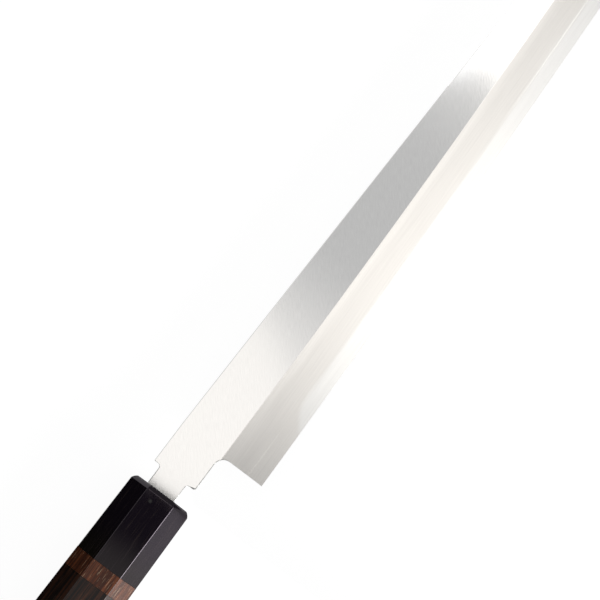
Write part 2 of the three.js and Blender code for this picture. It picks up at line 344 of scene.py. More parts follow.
def ground_hollow_back():
    """Hard steel back, hollow-ground on a wheel: arcs of fine grinding across the blade."""
    material, tree = new_material("ground_hollow_back")
    brush = node(tree, "ShaderNodeUVMap", uv_map="brush").outputs[0]
    # grinding lines 0.06 mm apart, drawn at 0.35 mm so that they show
    grind = stretched_noise(tree, brush, (2900, 70, 1), 3.0)
    tones = {0: grind, 6: hex_colour("#D0D1D0"), 7: hex_colour("#E4E5E3")}
    tone = node(tree, "ShaderNodeMix", tones, data_type="RGBA").outputs[2]
    rough = node(tree, "ShaderNodeMapRange", {0: grind, 1: 0.3, 2: 0.7, 3: 0.2, 4: 0.32}).outputs[0]
    finish_brushed_metal(tree, tone, rough, grind, 0.08, 0.5)
    return material


def polished_black_horn():
    """Water buffalo horn, sanded and buffed to a gloss: purplish black, olive towards the ring, streaked."""
    material, tree = new_material("polished_black_horn")
    place = node(tree, "ShaderNodeTexCoord").outputs["Object"]
    along = node(tree, "ShaderNodeSeparateXYZ", {0: place}).outputs[0]
    inputs = {0: along, 1: at(HORN_OLIVE_FROM, 0, 0).x, 2: FERRULE_LOW.x}
    to_ring = node(tree, "ShaderNodeMapRange", inputs, interpolation_type="SMOOTHSTEP").outputs[0]
    tones = {0: to_ring, 6: hex_colour("#150F19"), 7: hex_colour("#15130A")}
    ground = node(tree, "ShaderNodeMix", tones, data_type="RGBA").outputs[2]
    # fibres 0.4 mm wide and 10 mm long
    streak = stretched_noise(tree, place, (100, 2500, 2500), 3.0)
    inputs = {0: streak, 1: 0.5, 2: 0.75}
    shade = node(tree, "ShaderNodeMapRange", inputs, interpolation_type="SMOOTHSTEP").outputs[0]
    tones = {0: shade, 6: ground, 7: hex_colour("#2E2627")}
    streaked = node(tree, "ShaderNodeMix", tones, data_type="RGBA").outputs[2]
    # one pale fleck in the horn, 1.6 mm across
    inputs = {0: place, 1: at(*HORN_FLECK)}
    away = node(tree, "ShaderNodeVectorMath", inputs, operation="DISTANCE").outputs["Value"]
    inputs = {0: away, 1: 0.9 * MM, 2: 0.2 * MM, 4: 0.7}
    near = node(tree, "ShaderNodeMapRange", inputs, interpolation_type="SMOOTHSTEP").outputs[0]
    tones = {0: near, 6: streaked, 7: hex_colour("#4C4D49")}
    flecked = node(tree, "ShaderNodeMix", tones, data_type="RGBA").outputs[2]
    # buffing left patches 4 mm across duller than the rest
    buff = node(tree, "ShaderNodeTexNoise", {"Vector": place, "Scale": 250.0, "Detail": 2.0}).outputs[0]
    rough = node(tree, "ShaderNodeMapRange", {0: buff, 1: 0.3, 2: 0.7, 3: 0.06, 4: 0.1}).outputs[0]
    inputs = {"Strength": 0.05, "Distance": 0.05 * MM, "Height": streak}
    bump = node(tree, "ShaderNodeBump", inputs).outputs[0]
    inputs = {
        "Base Color": flecked,
        "Roughness": rough,
        "IOR": 1.54,
        "Specular Tint": hex_colour("#FFF0FF"),
        "Normal": bump,
    }
    finish_material(tree, "ShaderNodeBsdfPrincipled", inputs)
    return material


def open_pored_wood(name, dark, light, pore, band_mm, pore_share):
    """A sanded, lightly oiled hardwood: growth bands, dark vessel lines and pale open pores lengthways."""
    material, tree = new_material(name)
    place = node(tree, "ShaderNodeTexCoord").outputs["Object"]
    band_scale = 1 / (band_mm * MM)
    band = stretched_noise(tree, place, (18, band_scale, band_scale), 5.0)
    inputs = {0: band, 1: 0.36, 2: 0.66}
    figure = node(tree, "ShaderNodeMapRange", inputs, interpolation_type="SMOOTHSTEP").outputs[0]
    tones = {0: figure, 6: hex_colour(dark), 7: hex_colour(light)}
    banded = node(tree, "ShaderNodeMix", tones, data_type="RGBA").outputs[2]
    # vessel lines 0.3 mm wide and 8 mm long
    vessel = stretched_noise(tree, place, (120, 3000, 3000), 2.0)
    inputs = {0: vessel, 1: 0.52, 2: 0.62}
    lined = node(tree, "ShaderNodeMapRange", inputs, interpolation_type="SMOOTHSTEP").outputs[0]
    tones = {0: lined, 6: banded, 7: hex_colour(dark)}
    veined = node(tree, "ShaderNodeMix", tones, data_type="RGBA").outputs[2]
    # pores 0.1 mm wide and 7 mm long, drawn at 0.17 mm so that they show
    dash = stretched_noise(tree, place, (140, 6000, 6000), 1.0)
    inputs = {0: dash, 1: 1 - pore_share, 2: 1.06 - pore_share}
    open_pore = node(tree, "ShaderNodeMapRange", inputs, interpolation_type="SMOOTHSTEP").outputs[0]
    tones = {0: open_pore, 6: veined, 7: hex_colour(pore)}
    coloured = node(tree, "ShaderNodeMix", tones, data_type="RGBA").outputs[2]
    rough = node(tree, "ShaderNodeMapRange", {0: band, 3: 0.26, 4: 0.38}).outputs[0]
    inputs = {0: open_pore, 1: -1.0, 2: vessel}
    grain = node(tree, "ShaderNodeMath", inputs, operation="MULTIPLY_ADD").outputs[0]
    bump = node(tree, "ShaderNodeBump", {"Strength": 0.25, "Distance": 0.06 * MM, "Height": grain}).outputs[0]
    inputs = {"Base Color": coloured, "Roughness": rough, "IOR": 1.47, "Normal": bump}
    finish_material(tree, "ShaderNodeBsdfPrincipled", inputs)
    return material


def turned_dowel_wood():
    """Plain white wood, turned and glued in."""
    return open_pored_wood("turned_dowel_wood", "#B99C70", "#D3BA90", "#97794F", 1.2, 0.3)


def set_resin():
    """Dark filled resin, poured round the tang and set with a dull skin and small bubbles."""
    material, tree = new_material("set_resin")
    place = node(tree, "ShaderNodeTexCoord").outputs["Object"]
    # bubbles 0.3 mm across, in cells 0.6 mm wide
    bubbles = node(tree, "ShaderNodeTexVoronoi", {"Vector": place, "Scale": 1600.0}).outputs[0]
    tones = {0: bubbles, 6: hex_colour("#1E1813"), 7: hex_colour("#3B3229")}
    tone = node(tree, "ShaderNodeMix", tones, data_type="RGBA").outputs[2]
    bump = node(tree, "ShaderNodeBump", {"Strength": 0.3, "Distance": 0.1 * MM, "Height": bubbles}).outputs[0]
    inputs = {"Base Color": tone, "Roughness": 0.5, "IOR": 1.52, "Normal": bump}
    finish_material(tree, "ShaderNodeBsdfPrincipled", inputs)
    return material


def card_material(name, kind, **inputs):
    """Matt board, or cloth lit from behind, for a card of the studio."""
    material, tree = new_material(name)
    finish_material(tree, kind, inputs)
    return material


# Pieces


def new_piece(name, mesh, replaced):
    """Adds a piece in place of a CAD node."""
    piece = add_object(name, mesh)
    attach(piece, "root")
    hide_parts(replaced)


def eight_sided_tree():
    """A length of the handle: an octagon with softened ridges that grows towards the butt, with rounded-over
    ends. Rows of a grid run from the middle of the back face over the side to the middle of the front face:
    face, rounding, side, rounding and face, each one unit of the grid long. Columns run round the octagon."""
    tree = bpy.data.node_groups.new("eight_sided_length", "GeometryNodeTree")
    sockets = {
        "Back": "NodeSocketFloat",
        "Front": "NodeSocketFloat",
        "Back Rounding": "NodeSocketFloat",
        "Front Rounding": "NodeSocketFloat",
        "Datum": "NodeSocketVector",
        "Half Section": "NodeSocketVector",
        "Half Facets": "NodeSocketVector",
        "Growth": "NodeSocketVector",
        "Ridge Radius": "NodeSocketFloat",
        "Rows": "NodeSocketInt",
        "Columns": "NodeSocketInt",
        "Finish": "NodeSocketMaterial",
    }
    for name, kind in sockets.items():
        tree.interface.new_socket(name=name, in_out="INPUT", socket_type=kind)
    tree.interface.new_socket(name="Geometry", in_out="OUTPUT", socket_type="NodeSocketGeometry")
    size = node(tree, "NodeGroupInput").outputs

    # the octagon at the front of the ferrule, from a circle's eight corners
    corner_near = math.sin(math.pi / 8)
    corner_far = math.cos(math.pi / 8)
    circle = node(tree, "GeometryNodeMeshCircle", {"Vertices": 8, "Radius": 1.0})
    inputs = {"Geometry": circle.outputs[0], "Rotation": (math.pi / 2, math.pi / 8, math.pi / 2)}
    upright = node(tree, "GeometryNodeTransform", inputs).outputs[0]
    corner = node(tree, "GeometryNodeInputPosition").outputs[0]
    corner_size = node(tree, "ShaderNodeVectorMath", {0: corner}, operation="ABSOLUTE").outputs[0]
    corner_sign = node(tree, "ShaderNodeVectorMath", {0: corner}, operation="SIGN").outputs[0]
    inputs = {
        6: corner_size,
        7: (corner_near,) * 3,
        8: (corner_far,) * 3,
        9: size["Half Facets"],
        10: size["Half Section"],
    }
    reach = node(tree, "ShaderNodeMapRange", inputs, data_type="FLOAT_VECTOR").outputs["Vector"]
    inputs = {0: reach, 1: corner_sign}
    octagon_corner = node(tree, "ShaderNodeVectorMath", inputs, operation="MULTIPLY").outputs[0]
    inputs = {"Geometry": upright, "Position": octagon_corner}
    octagon = node(tree, "GeometryNodeSetPosition", inputs)
    outline = node(tree, "GeometryNodeMeshToCurve", {0: octagon.outputs[0]})
    inputs = {"Curve": outline.outputs[0], "Count": RIDGE_POINTS, "Radius": size["Ridge Radius"]}
    softened = node(tree, "GeometryNodeFilletCurve", inputs, mode="POLY").outputs[0]

    # the grid, and the place of each of its points along the row and round the octagon
    inputs = {"Size X": 5.0, "Size Y": 1.0, "Vertices X": size["Rows"], "Vertices Y": size["Columns"]}
    grid = node(tree, "GeometryNodeMeshGrid", inputs)
    spot = node(tree, "ShaderNodeSeparateXYZ", {0: node(tree, "GeometryNodeInputPosition").outputs[0]})
    along = spot.outputs[0]
    around = node(tree, "ShaderNodeMath", {0: spot.outputs[1], 1: 0.5}, operation="ADD").outputs[0]
    from_middle = node(tree, "ShaderNodeMath", {0: along}, operation="ABSOLUTE").outputs[0]
    inputs = {0: along, 1: -0.5, 2: 0.5}
    on_side = node(tree, "ShaderNodeMapRange", inputs, interpolation_type="SMOOTHSTEP").outputs[0]
    on_rounding = node(tree, "ShaderNodeMapRange", {0: from_middle, 1: 0.5, 2: 1.5}).outputs[0]
    on_face = node(tree, "ShaderNodeMapRange", {0: from_middle, 1: 1.5, 2: 2.5, 3: 1.0, 4: 0.0}).outputs[0]
    inputs = {"Curves": softened, "Factor": around}
    edge = node(tree, "GeometryNodeSampleCurve", inputs, mode="FACTOR").outputs["Position"]

    # how much of the section is left there, and how far the skin has fallen back from the end face
    inputs = {0: on_rounding, 1: on_rounding}
    squared = node(tree, "ShaderNodeMath", inputs, operation="MULTIPLY").outputs[0]
    inputs = {0: squared, 1: 1 - ROUND_OVER_START, 2: ROUND_OVER_START}
    steepened = node(tree, "ShaderNodeMath", inputs, operation="MULTIPLY_ADD").outputs[0]
    bent = node(tree, "ShaderNodeMath", {0: on_rounding, 1: steepened}, operation="MULTIPLY").outputs[0]
    left = node(tree, "ShaderNodeMapRange", {0: bent, 3: 1.0, 4: ROUND_OVER_RIM}).outputs[0]
    inwards = node(tree, "ShaderNodeMath", {0: left, 1: on_face}, operation="MULTIPLY").outputs[0]
    fall = node(tree, "ShaderNodeMath", {0: 1.0, 1: on_rounding}, operation="SUBTRACT").outputs[0]
    inputs = {0: fall, 1: size["Back Rounding"], 2: size["Back"]}
    back = node(tree, "ShaderNodeMath", inputs, operation="MULTIPLY_ADD").outputs[0]
    inputs = {0: fall, 1: size["Front Rounding"]}
    front_fall = node(tree, "ShaderNodeMath", inputs, operation="MULTIPLY").outputs[0]
    inputs = {0: size["Front"], 1: front_fall}
    front = node(tree, "ShaderNodeMath", inputs, operation="SUBTRACT").outputs[0]
    length_x = node(tree, "ShaderNodeMix", {0: on_side, 2: back, 3: front}).outputs[0]

    # the handle grows towards the butt while its broad and narrow facets keep their width
    size_here = node(tree, "ShaderNodeVectorMath", {0: edge}, operation="ABSOLUTE").outputs[0]
    sign_here = node(tree, "ShaderNodeVectorMath", {0: edge}, operation="SIGN").outputs[0]
    inputs = {0: size_here, 1: size["Half Facets"]}
    past_facet = node(tree, "ShaderNodeVectorMath", inputs, operation="SUBTRACT").outputs[0]
    inputs = {0: past_facet, 1: (0, 0, 0)}
    past_corner = node(tree, "ShaderNodeVectorMath", inputs, operation="MAXIMUM").outputs[0]
    inputs = {0: past_corner, 1: size["Growth"]}
    rate = node(tree, "ShaderNodeVectorMath", inputs, operation="MULTIPLY").outputs[0]
    inputs = {0: rate, 1: sign_here}
    signed_rate = node(tree, "ShaderNodeVectorMath", inputs, operation="MULTIPLY").outputs[0]
    run_back = node(tree, "ShaderNodeMath", {0: length_x, 1: -1.0}, operation="MULTIPLY").outputs[0]
    inputs = {0: signed_rate, "Scale": run_back}
    grown = node(tree, "ShaderNodeVectorMath", inputs, operation="SCALE").outputs[0]
    section = node(tree, "ShaderNodeVectorMath", {0: edge, 1: grown}, operation="ADD").outputs[0]
    inputs = {0: section, "Scale": inwards}
    drawn_in = node(tree, "ShaderNodeVectorMath", inputs, operation="SCALE").outputs[0]
    lengthways = node(tree, "ShaderNodeCombineXYZ", {0: length_x}).outputs[0]
    drawn = node(tree, "ShaderNodeVectorMath", {0: drawn_in, 1: lengthways}, operation="ADD").outputs[0]
    placed = node(tree, "ShaderNodeVectorMath", {0: drawn, 1: size["Datum"]}, operation="ADD").outputs[0]
    skin = node(tree, "GeometryNodeSetPosition", {"Geometry": grid.outputs[0], "Position": placed})
    inputs = {"Geometry": skin.outputs[0], "Distance": HANDLE_MERGE * MM}
    closed = node(tree, "GeometryNodeMergeByDistance", inputs)
    smoothed = node(tree, "GeometryNodeSetShadeSmooth", {"Geometry": closed.outputs[0]})
    real = node(tree, "GeometryNodeRealizeInstances", {"Geometry": smoothed.outputs[0]})
    inputs = {"Geometry": real.outputs[0], "Material": size["Finish"]}
    dressed = node(tree, "GeometryNodeSetMaterial", inputs)
    node(tree, "NodeGroupOutput", {0: dressed.outputs[0]})
    return tree


def handle_mesh(name, tree, finish, back, front, back_rounding=0.0, front_rounding=0.0):
    """A plain mesh of one length of the handle, between two places in millimetres from the datum."""
    half = Vector((0.0, FRONT_HEIGHT / 2, FRONT_THICKNESS / 2))
    facets = Vector((0.0, BROAD_FACET / 2, NARROW_FACET / 2))
    butt = Vector((0.0, BUTT_HEIGHT / 2, BUTT_THICKNESS / 2))
    growth = [0.0]
    for axis in (1, 2):
        past_facet = half[axis] - facets[axis]
        growth.append((butt[axis] - half[axis]) / past_facet / (HANDLE_LENGTH * MM))
    values = {
        "Back": back * MM,
        "Front": front * MM,
        "Back Rounding": back_rounding * MM,
        "Front Rounding": front_rounding * MM,
        "Datum": DATUM,
        "Half Section": half * MM,
        "Half Facets": facets * MM,
        "Growth": growth,
        "Ridge Radius": RIDGE_RADIUS * MM,
        "Rows": HANDLE_ROWS,
        "Columns": HANDLE_COLUMNS,
        "Finish": finish,
    }
    holder = add_object(name + "_maker", bpy.data.meshes.new(name + "_maker"))
    modifier = holder.modifiers.new("length", "NODES")
    modifier.node_group = tree
    for socket in tree.interface.items_tree:
        if socket.in_out == "INPUT":
            modifier[socket.identifier] = values[socket.name]
    depsgraph = bpy.context.evaluated_depsgraph_get()
    mesh = bpy.data.meshes.new_from_object(holder.evaluated_get(depsgraph))
    mesh.name = name
    holder.modifiers.remove(modifier)
    bpy.data.objects.remove(holder)
    shape = bmesh.new()
    shape.from_mesh(mesh)
    bmesh.ops.recalc_face_normals(shape, faces=shape.faces)
    shape.to_mesh(mesh)
    shape.free()
    mesh.set_sharp_from_angle(angle=HANDLE_CREASE)
    return mesh


def cut_mouth(mesh):
    """Cuts the slot for the tang into the ferrule's front."""
    corners = [
        at(x, y, z)
        for x in (-MOUTH_DEPTH, MOUTH_CUT_FROM)
        for y in (MOUTH_BOTTOM, MOUTH_TOP)
        for z in (-MOUTH_THICKNESS / 2, MOUTH_THICKNESS / 2)
    ]
    sides = [(0, 1, 3, 2), (4, 6, 7, 5), (0, 4, 5, 1), (2, 3, 7, 6), (0, 2, 6, 4), (1, 5, 7, 3)]
    cutter_mesh = bpy.data.meshes.new("mouth_cutter")
    cutter_mesh.from_pydata(corners, [], sides)
    cutter = add_object("mouth_cutter", cutter_mesh)
    blank = add_object("ferrule_blank", mesh)
    cut = blank.modifiers.new("mouth", "BOOLEAN")
    cut.operation = "DIFFERENCE"
    cut.solver = "EXACT"
    cut.object = cutter
    depsgraph = bpy.context.evaluated_depsgraph_get()
    result = bpy.data.meshes.new_from_object(blank.evaluated_get(depsgraph))
    bpy.data.objects.remove(blank)
    bpy.data.objects.remove(cutter)
    result.set_sharp_from_angle(angle=HANDLE_CREASE)
    return result


# Blade lines, as in the knife's drawing


def blade_share(x):
    """0 at the heel and 1 at the tip."""
    return clamp((x - HEEL_X) / BLADE_LENGTH)


def line_y(line, x):
    """Height of a long line of the blade."""
    heel, tip, bow = line
    share = blade_share(x)
    return lerp(heel, tip, share) - 4 * bow * share * (1 - share)


def spine_y(x):
    """The spine, and past the start of the slanted end that end."""
    if x <= CUT_X:
        return line_y(SPINE_LINE, x)
    return lerp(line_y(SPINE_LINE, CUT_X), EDGE_LINE[1], (x - CUT_X) / TIP_CUT_LENGTH)


def face_z(x):
    return BACK_Z + lerp(HEEL_THICKNESS, TIP_THICKNESS, blade_share(x))


def front_z(x, y):
    """Height of the front: level from spine to ridge, then sloping to the edge."""
    ridge = line_y(RIDGE_LINE, x)
    edge = line_y(EDGE_LINE, x)
    return lerp(face_z(x), BACK_Z + EDGE_LAND, clamp((ridge - y) / (ridge - edge)))


def weld_z(x):
    return BACK_Z + lerp(STEEL_AT_HEEL, STEEL_AT_TIP, blade_share(x))


def weld_y(x):
    """Where the weld comes out on the bevel."""
    share = (face_z(x) - weld_z(x)) / (face_z(x) - BACK_Z - EDGE_LAND)
    return lerp(line_y(RIDGE_LINE, x), line_y(EDGE_LINE, x), share)


def hollow_depth(x):
    """Depth of the hollow back, which runs out at the heel and before the slanted end."""
    fade_in = smooth(HEEL_X, HEEL_X + HOLLOW_FADE, x)
    fade_out = smooth(CUT_X - HOLLOW_FADE, CUT_X, x)
    return HOLLOW_DEPTH * fade_in * (1 - fade_out)


def where_tip_reaches(height_above_edge):
    """The place on the slanted end where the blade is as high as that, by halving."""
    near, far = CUT_X, TIP_X
    for _ in range(HALVINGS):
        middle = (near + far) / 2
        if spine_y(middle) - line_y(EDGE_LINE, middle) > height_above_edge(middle):
            near = middle
        else:
            far = middle
    return near


def broken_edge(place, radius, surface, side):
    """The quarter round from a wall to the front (side 1) or the back (side -1), from the wall inwards.
    A place on the outline is its x and y and the direction into the metal there."""
    x, y, inward_x, inward_y = place
    points = []
    for i in range(ROUND_STEPS + 1):
        turn = math.pi / 2 * i / ROUND_STEPS
        inset = radius * (1 - math.cos(turn))
        round_x = x + inward_x * inset
        round_y = y + inward_y * inset
        fall = side * radius * (1 - math.sin(turn))
        points.append((round_x, round_y, surface(round_x, round_y) - fall))
    return points


def run(first, last, steps):
    """Points between two corners, without the corners."""
    return [tuple(lerp(a, b, i / steps) for a, b in zip(first, last)) for i in range(1, steps)]


def tagged(finish, points):
    """Points of a section, each with the finish of the skin after it."""
    return [(point, finish) for point in points]


def front_ring(back_run, high_top, high_bottom, front):
    """A section of the iron from its back, round the spine, over face and ridge and down the bevel.
    The ridge is rounded a little, so it has a point on each side of it."""
    start, end = high_top[-1], high_bottom[0]

    def on_front(y):
        y = clamp(y, end[1], start[1])
        share = (start[1] - y) / max(start[1] - end[1], STEP)
        x = lerp(start[0], end[0], share)
        return (x, y, front(x, y))

    ridge_y = max(line_y(RIDGE_LINE, end[0]), end[1] + HOLD)
    hold = on_front(start[1] - HOLD)
    above, ridge, below = (on_front(ridge_y + offset) for offset in (RIDGE_ABOVE, 0.0, -RIDGE_BELOW))
    return (
        tagged("edges", back_run + high_top[:-1])
        + tagged("face", [start, hold] + run(hold, above, FACE_STEPS) + [above])
        + tagged("bevel", [ridge, below] + run(below, end, BEVEL_STEPS))
        + tagged("edges", high_bottom)
    )


def bar_ring(bottom, top, half_thickness, low_radius=EDGE_BREAK, high_radius=EDGE_BREAK):
    """A section of tang or neck with broken edges, from a place on its lower outline to one on its upper."""

    def front(x, y):
        return min(half_thickness, front_z(x, y))

    def back(x, y):
        return -half_thickness

    low_bottom = broken_edge(bottom, low_radius, back, -1)
    low_top = broken_edge(top, high_radius, back, -1)[::-1]
    back_run = low_bottom + run(low_bottom[-1], low_top[0], BACK_STEPS) + low_top
    high_top = broken_edge(top, high_radius, front, 1)
    high_bottom = broken_edge(bottom, low_radius, front, 1)[::-1]
    return front_ring(back_run, high_top, high_bottom, front)


def cladding_ring(x):
    """A section of the iron in the blade: down the spine, over face and bevel to a feather edge."""
    low = weld_z(x)
    spine = spine_y(x)
    outcrop = min(weld_y(x), spine)
    high = front_z(x, spine)
    radius = max(min(EDGE_BREAK, (high - low) / 3, (spine - outcrop) / 4), 0.0)
    feather = [(x, outcrop, min(front_z(x, outcrop), high))] * (ROUND_STEPS + 1)
    low_top = [(x, spine, low)] * (ROUND_STEPS + 1)
    back_run = feather + run(feather[0], low_top[0], BACK_STEPS) + low_top
    return front_ring(back_run, broken_edge((x, spine, 0, -1), radius, front_z, 1), feather, front_z)


def steel_ring(x):
    """A section of the hard steel: hollow back between its rims, spine, weld and the lower bevel."""
    high = min(weld_z(x), front_z(x, spine_y(x)))
    spine = spine_y(x)
    edge = line_y(EDGE_LINE, x)
    outcrop = min(weld_y(x), spine)
    width = spine - edge
    rim_edge = edge + min(HOLLOW_RIM_EDGE, width / 4)
    rim_spine = spine - min(HOLLOW_RIM_SPINE, width / 4)
    radius = min(EDGE_BREAK, width / 8, (high - BACK_Z) / 3)
    hollow = []
    for i in range(BACK_STEPS + 1):
        share = i / BACK_STEPS
        depth = hollow_depth(x) * 4 * share * (1 - share)
        hollow.append((x, lerp(rim_edge, rim_spine, share), BACK_Z + depth))
    low_top = broken_edge((x, spine, 0, -1), radius, lambda x, y: BACK_Z, -1)[::-1]
    feather = (x, outcrop, front_z(x, outcrop))
    land = (x, edge, BACK_Z + EDGE_LAND)
    return (
        tagged("back", [(x, edge, BACK_Z)] + hollow + low_top[:1])
        + tagged("edges", low_top[1:] + [(x, spine, high)])
        + tagged("bevel", [feather] + run(feather, land, BEVEL_STEPS))
        + tagged("edges", [land])
    )


def quarter(steps):
    """Sines and cosines of the turns of a quarter circle."""
    turns = [math.pi / 2 * i / steps for i in range(steps + 1)]
    return [(math.sin(turn), math.cos(turn)) for turn in turns]


def rounded_corner(way, radius):
    """How far an outline falls short some way after a rounded corner's start, and the direction inwards."""
    across = clamp(1 - way / radius)
    along = math.sqrt(1 - across ** 2)
    return radius * (1 - along), across, along


def neck_sections():
    """Sections from the end of the tang through shoulders and neck to the end of the choil."""
    sections = []
    middle = (TANG_TOP + TANG_BOTTOM) / 2
    width = TANG_TOP - TANG_BOTTOM
    # the tang
    for i in range(TANG_STEPS + 1):
        share = 1 - i / TANG_STEPS
        x = -TANG_LENGTH * share
        half = lerp(width, TANG_END_WIDTH, share) / 2
        thick = lerp(HEEL_THICKNESS, TANG_END_THICKNESS, share) / 2
        sections.append(bar_ring((x, middle - half, 0, 1), (x, middle + half, 0, -1), thick))
    # the shoulders' fillets, whose edges soon turn sharper than the tang's
    for sine, cosine in quarter(FILLET_STEPS):
        x = SHOULDER_X - SHOULDER_FILLET * (1 - sine)
        rise = SHOULDER_FILLET * (1 - cosine)
        bottom = (x, TANG_BOTTOM - rise, sine, cosine)
        top = (x, TANG_TOP + rise, sine, -cosine)
        sharper = smooth(0.0, 0.6, sine)
        low_radius = lerp(EDGE_BREAK, LOWER_FILLET_BREAK, sharper)
        high_radius = lerp(EDGE_BREAK, FILLET_BREAK, sharper)
        sections.append(bar_ring(bottom, top, -BACK_Z, low_radius, high_radius))
    # the neck's rounded corners
    for sine, cosine in quarter(FILLET_STEPS):
        way = LOWER_CORNER * (1 - cosine)
        x = SHOULDER_X + STEP + way
        low_short, low_across, low_along = rounded_corner(way, LOWER_CORNER)
        high_short, high_across, high_along = rounded_corner(way, UPPER_CORNER)
        bottom = (x, NECK_BOTTOM + low_short, low_across, low_along)
        top = (x, SPINE_LINE[0] - high_short, high_across, -high_along)
        low_radius = lerp(CORNER_BREAK, LOWER_BREAK, (1 - cosine) ** 2)
        high_radius = lerp(EDGE_BREAK / 2, EDGE_BREAK, 1 - cosine)
        sections.append(bar_ring(bottom, top, -BACK_Z, low_radius, high_radius))
    # the straight neck
    for i in range(1, NECK_STEPS):
        x = lerp(SHOULDER_X + LOWER_CORNER, CHOIL_X, i / NECK_STEPS)
        sections.append(bar_ring((x, NECK_BOTTOM, 0, 1), (x, SPINE_LINE[0], 0, -1), -BACK_Z, LOWER_BREAK))
    # the choil, whose broken edge runs out where it meets the heel
    for sine, cosine in quarter(CHOIL_STEPS):
        x = CHOIL_X + CHOIL_RADIUS * sine
        bottom = (x, NECK_BOTTOM - CHOIL_RADIUS * (1 - cosine), sine, cosine)
        radius = max(LOWER_BREAK * smooth(0.0, 0.9, cosine), STEP / 2)
        sections.append(bar_ring(bottom, (x, SPINE_LINE[0], 0, -1), -BACK_Z, radius))
    return sections


def blade_stations(start, end):
    """Places of the sections from the heel to the slanted end and, closer together, along it."""
    places = [lerp(start, CUT_X, i / LONG_STEPS) for i in range(LONG_STEPS)]
    return places + [lerp(CUT_X, end, i / TIP_STEPS) for i in range(TIP_STEPS + 1)]


def lofted_mesh(name, sections, finishes):
    """A closed skin over sections of equal point counts, with finishes, brush map and share of the bevel."""
    shape = bmesh.new()
    rings = [[shape.verts.new(at(*point)) for point, _ in section] for section in sections]
    count = len(rings[0])
    order = list(finishes)
    for ring, after, section in zip(rings, rings[1:], sections):
        for i in range(count):
            face = shape.faces.new((ring[i], ring[(i + 1) % count], after[(i + 1) % count], after[i]))
            face.material_index = order.index(section[i][1])
    for ring in (rings[0], rings[-1]):
        face = shape.faces.new(ring)
        face.material_index = order.index("edges")
    bmesh.ops.remove_doubles(shape, verts=shape.verts, dist=BLADE_MERGE * MM)
    bmesh.ops.dissolve_degenerate(shape, edges=shape.edges, dist=BLADE_SLIVER * MM)
    bmesh.ops.recalc_face_normals(shape, faces=shape.faces)
    brush = shape.loops.layers.uv.new("brush")
    for face in shape.faces:
        turn = math.radians(LINES[order[face.material_index]])
        cosine, sine = math.cos(turn), math.sin(turn)
        for loop in face.loops:
            x, y, _ = loop.vert.co
            loop[brush].uv = (y * cosine - x * sine, x * cosine + y * sine)
        face.smooth = True
    mesh = bpy.data.meshes.new(name)
    shape.to_mesh(mesh)
    shape.free()
    share = mesh.attributes.new("bevel_share", "FLOAT", "POINT")
    for vertex, value in zip(mesh.vertices, share.data):
        x, y, _ = (vertex.co - DATUM) / MM
        ridge, edge = line_y(RIDGE_LINE, x), line_y(EDGE_LINE, x)
        misty = HEEL_MIST * (1 - smooth(*HEEL_MIST_END, x))
        value.value = (ridge - y) / (ridge - edge) * (1 - misty)
    mesh.set_sharp_from_angle(angle=BLADE_CREASE)
    for finish in order:
        mesh.materials.append(finishes[finish])
    return mesh


def make_blade():
    """The iron with its tang, and the steel on its back."""
    face = hairline_brushed_iron()
    bevel = stone_finished_bevel()
    edges = filed_iron_edges()
    back = ground_hollow_back()
    iron_end = where_tip_reaches(lambda x: weld_y(x) - line_y(EDGE_LINE, x) + TIP_BLUNT)
    iron = neck_sections() + [cladding_ring(x) for x in blade_stations(HEEL_X + STEP, iron_end)]
    iron_finishes = {"face": face, "bevel": bevel, "edges": edges}
    iron_mesh = lofted_mesh("iron_blade_and_tang", iron, iron_finishes)
    new_piece("iron_blade_and_tang", iron_mesh, "blade_cladding")
    steel_end = where_tip_reaches(lambda x: TIP_BLUNT)
    steel = [steel_ring(x) for x in blade_stations(HEEL_X + STEEL_START, steel_end)]
    steel_finishes = {"back": back, "bevel": bevel, "edges": edges}
    steel_mesh = lofted_mesh("steel_edge_layer", steel, steel_finishes)
    new_piece("steel_edge_layer", steel_mesh, "blade_edge_steel")


def datum_x(corner):
    """A corner of a CAD box, in millimetres along the handle from the datum."""
    return (corner.x - DATUM.x) / MM


def make_handle():
    """Ferrule, ring and grip, from one node tree."""
    tree = eight_sided_tree()
    horn = polished_black_horn()
    # growth bands 0.9 and 1 mm wide
    ring_wood = open_pored_wood("open_pored_ring_wood", "#47200E", "#804422", "#CDB08E", 0.9, 0.325)
    grip_wood = open_pored_wood("striped_dark_hardwood", "#100805", "#4A2816", "#80634F", 1.0, 0.28)
    blank = handle_mesh("ferrule", tree, horn, datum_x(FERRULE_LOW), 0.0, 0.0, FERRULE_ROUNDING)
    ferrule = cut_mouth(blank)
    ring = handle_mesh("ring", tree, ring_wood, datum_x(RING_LOW), datum_x(RING_HIGH))
    body = handle_mesh("body", tree, grip_wood, datum_x(BODY_LOW), datum_x(BODY_HIGH), BUTT_ROUNDING, 0.0)
    new_piece("ferrule", ferrule, "horn_ferrule")
    new_piece("ring", ring, "spacer_ring")
    new_piece("grip", body, "handle_body")


def dress_hidden_nodes():
    """The dowel and the resin inside the handle keep their solids."""
    for name, material in (("core_dowel", turned_dowel_wood()), ("tang_resin", set_resin())):
        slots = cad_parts[name].data.materials
        slots.clear()
        slots.append(material)


# Studio


